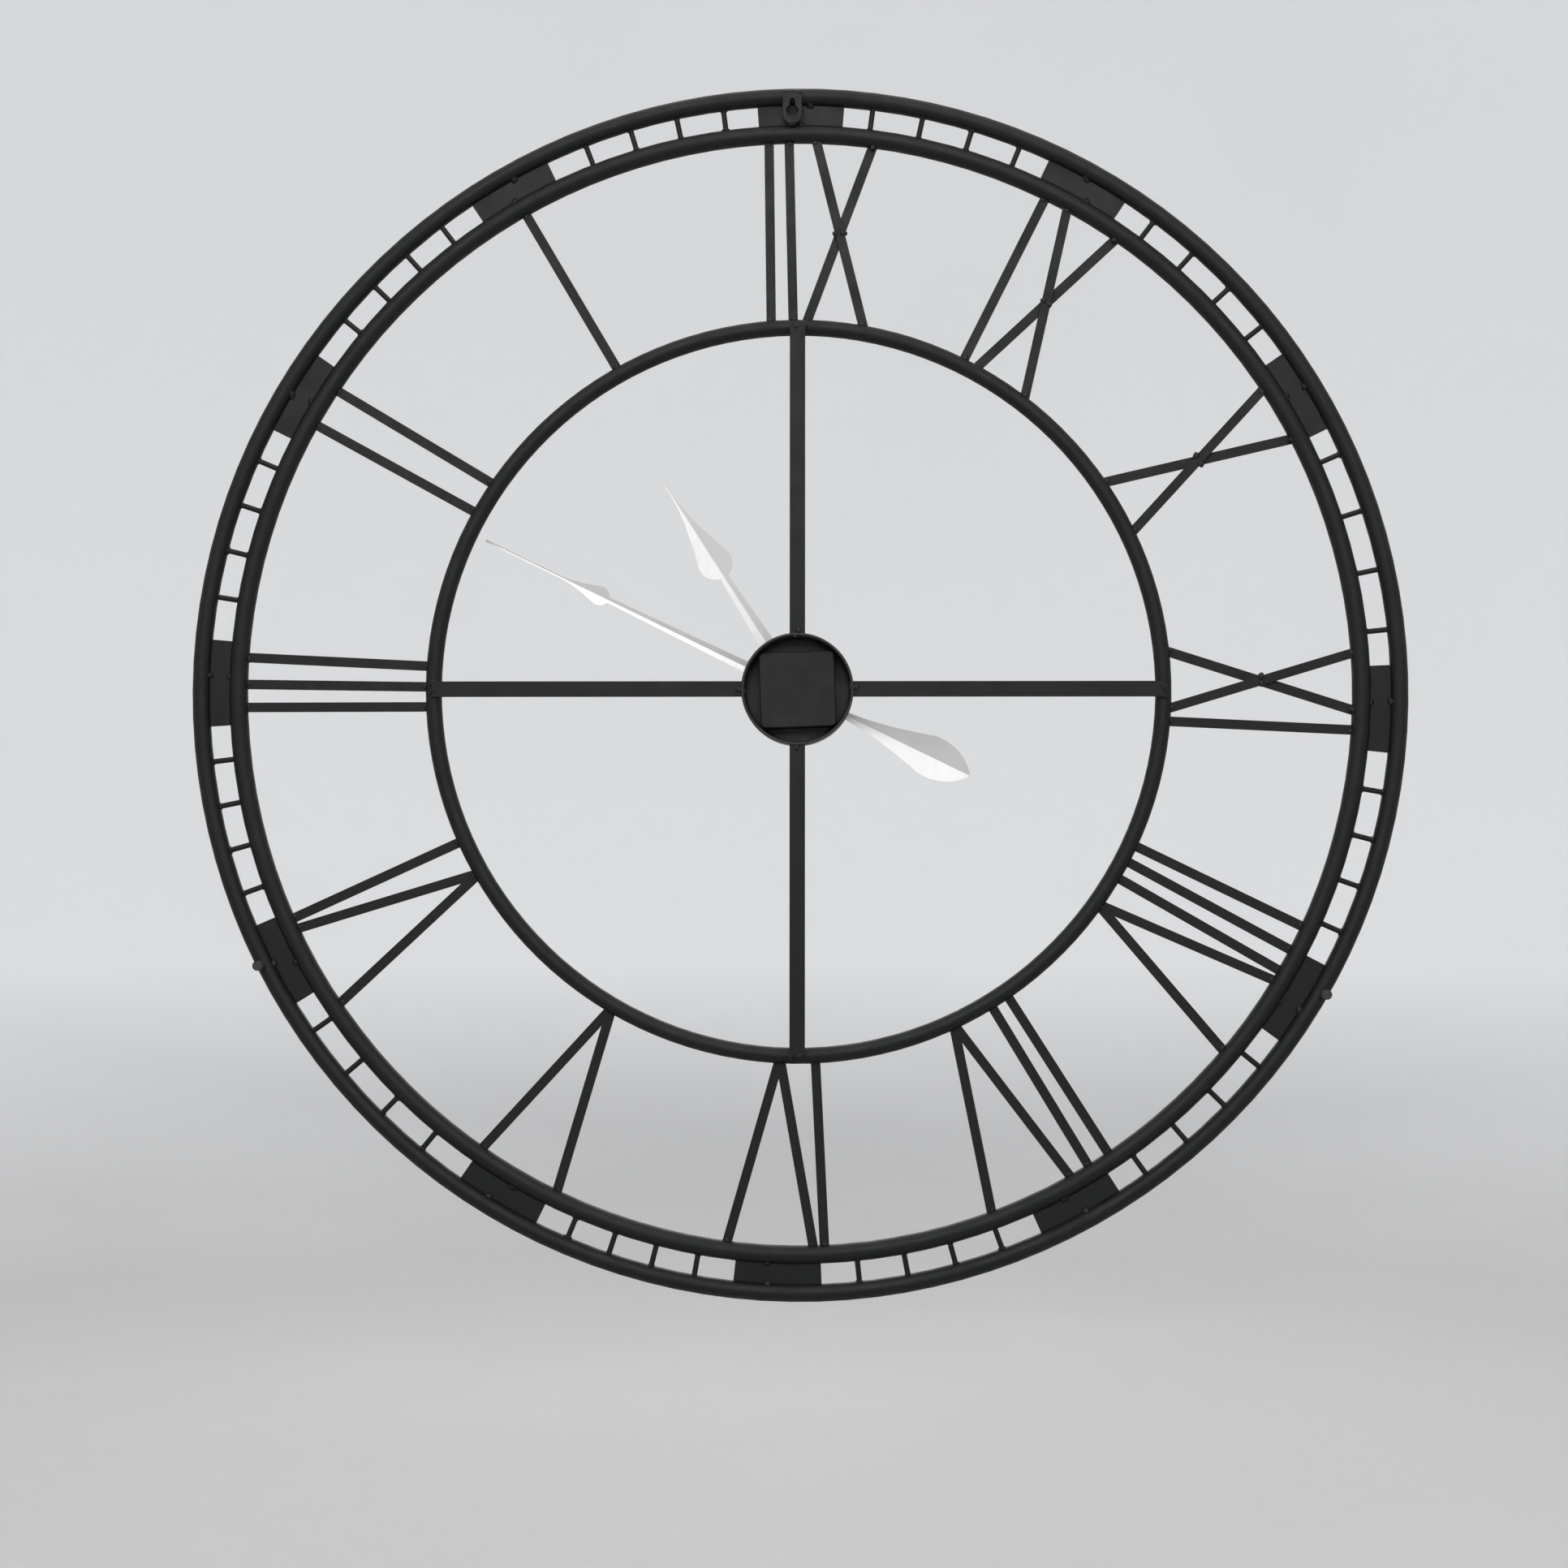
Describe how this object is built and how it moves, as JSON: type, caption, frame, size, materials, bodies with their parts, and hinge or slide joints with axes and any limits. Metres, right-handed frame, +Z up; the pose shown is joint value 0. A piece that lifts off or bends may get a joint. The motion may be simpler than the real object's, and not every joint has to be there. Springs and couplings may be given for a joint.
{
  "type": "wall clock",
  "caption": "Large open-frame wall clock: tube rings, welded bar Roman numerals and hour plates, cross spokes to a hub cup with a quartz movement, folded spade hands.",
  "frame": {"origin": "centre of the hanger plate's keyhole, on the plate's back face", "axes": "+X to the right and +Z up as the dial is read from the front, +Y from the dial to the wall"},
  "size_m": [0.8999, 0.0416, 0.9],
  "materials": {
    "frame_black": "satin black powder coat",
    "case_plastic": "fine matt moulded",
    "bumper_rubber": "matt",
    "hand_white": "satin white lacquer",
    "brass": "turned",
    "steel": "bright rolled",
    "gear_plastic": "natural moulded",
    "copper_wire": "enamelled winding",
    "board_green": "solder mask",
    "battery_label": "plain wrapped cell"
  },
  "bodies": {
    "frame": {"outer_ring": "frame_black", "chapter_ring": "frame_black", "inner_ring": "frame_black", "minute_rods": "frame_black", "hour_plate_12": "frame_black", "hour_plate_1": "frame_black", "hour_plate_2": "frame_black", "hour_plate_3": "frame_black", "hour_plate_4": "frame_black", "hour_plate_5": "frame_black", "hour_plate_6": "frame_black", "hour_plate_7": "frame_black", "hour_plate_8": "frame_black", "hour_plate_9": "frame_black", "hour_plate_10": "frame_black", "hour_plate_11": "frame_black", "numeral_XII": "frame_black", "numeral_I": "frame_black", "numeral_II": "frame_black", "numeral_III": "frame_black", "numeral_IV": "frame_black", "numeral_V": "frame_black", "numeral_VI": "frame_black", "numeral_VII": "frame_black", "numeral_VIII": "frame_black", "numeral_IX": "frame_black", "numeral_X": "frame_black", "numeral_XI": "frame_black", "spoke_12": "frame_black", "spoke_3": "frame_black", "spoke_6": "frame_black", "spoke_9": "frame_black", "hub_cup": "frame_black", "hanger_plate": "frame_black", "wall_bumpers": "bumper_rubber", "case_front": "case_plastic", "case_cover": "case_plastic", "middle_plate": "gear_plastic", "threaded_bush": "brass", "rubber_gasket": "bumper_rubber", "clamp_washer": "brass", "clamp_nut": "brass", "stator": "steel", "coil": "copper_wire", "coil_core": "steel", "circuit_board": "board_green", "quartz_crystal": "steel", "battery": "battery_label", "battery_contacts": "steel"},
    "minute": {"minute_hand": "hand_white", "hand_nut": "steel", "minute_arbor": "brass"},
    "hour": {"hour_hand": "hand_white", "hour_wheel": "gear_plastic"},
    "motion_work": {"motion_wheel": "gear_plastic"},
    "third": {"third_wheel": "gear_plastic"},
    "second": {"second_wheel": "gear_plastic"},
    "fifth": {"fifth_wheel": "gear_plastic"},
    "motor_rotor": {"rotor": "steel"}
  },
  "joints": [
    {"name": "minute_turn", "type": "hinge", "parent": "frame", "child": "minute", "pos_m": [-0.004, 0, -0.4311], "axis": [0, 1, 0], "continuous": true},
    {"name": "hour_turn", "type": "hinge", "parent": "frame", "child": "hour", "pos_m": [-0.004, 0, -0.4311], "axis": [0, 1, 0], "continuous": true},
    {"name": "motion_work_turn", "type": "hinge", "parent": "frame", "child": "motion_work", "pos_m": [-0.01218, 0, -0.42232], "axis": [0, 1, 0], "continuous": true},
    {"name": "third_turn", "type": "hinge", "parent": "frame", "child": "third", "pos_m": [0.0039, 0, -0.42373], "axis": [0, 1, 0], "continuous": true},
    {"name": "second_turn", "type": "hinge", "parent": "frame", "child": "second", "pos_m": [-0.004, 0, -0.4311], "axis": [0, 1, 0], "continuous": true},
    {"name": "fifth_turn", "type": "hinge", "parent": "frame", "child": "fifth", "pos_m": [-0.01192, 0, -0.43082], "axis": [0, 1, 0], "continuous": true},
    {"name": "rotor_turn", "type": "hinge", "parent": "frame", "child": "motor_rotor", "pos_m": [-0.01785, 0, -0.42711], "axis": [0, 1, 0], "continuous": true}
  ],
  "couplings": [
    {"joint": "hour_turn", "follows": "minute_turn", "ratio": 0.083333},
    {"joint": "motion_work_turn", "follows": "minute_turn", "ratio": -0.33333},
    {"joint": "third_turn", "follows": "minute_turn", "ratio": -8},
    {"joint": "second_turn", "follows": "minute_turn", "ratio": 60},
    {"joint": "fifth_turn", "follows": "minute_turn", "ratio": -300},
    {"joint": "rotor_turn", "follows": "minute_turn", "ratio": 1800}
  ]
}
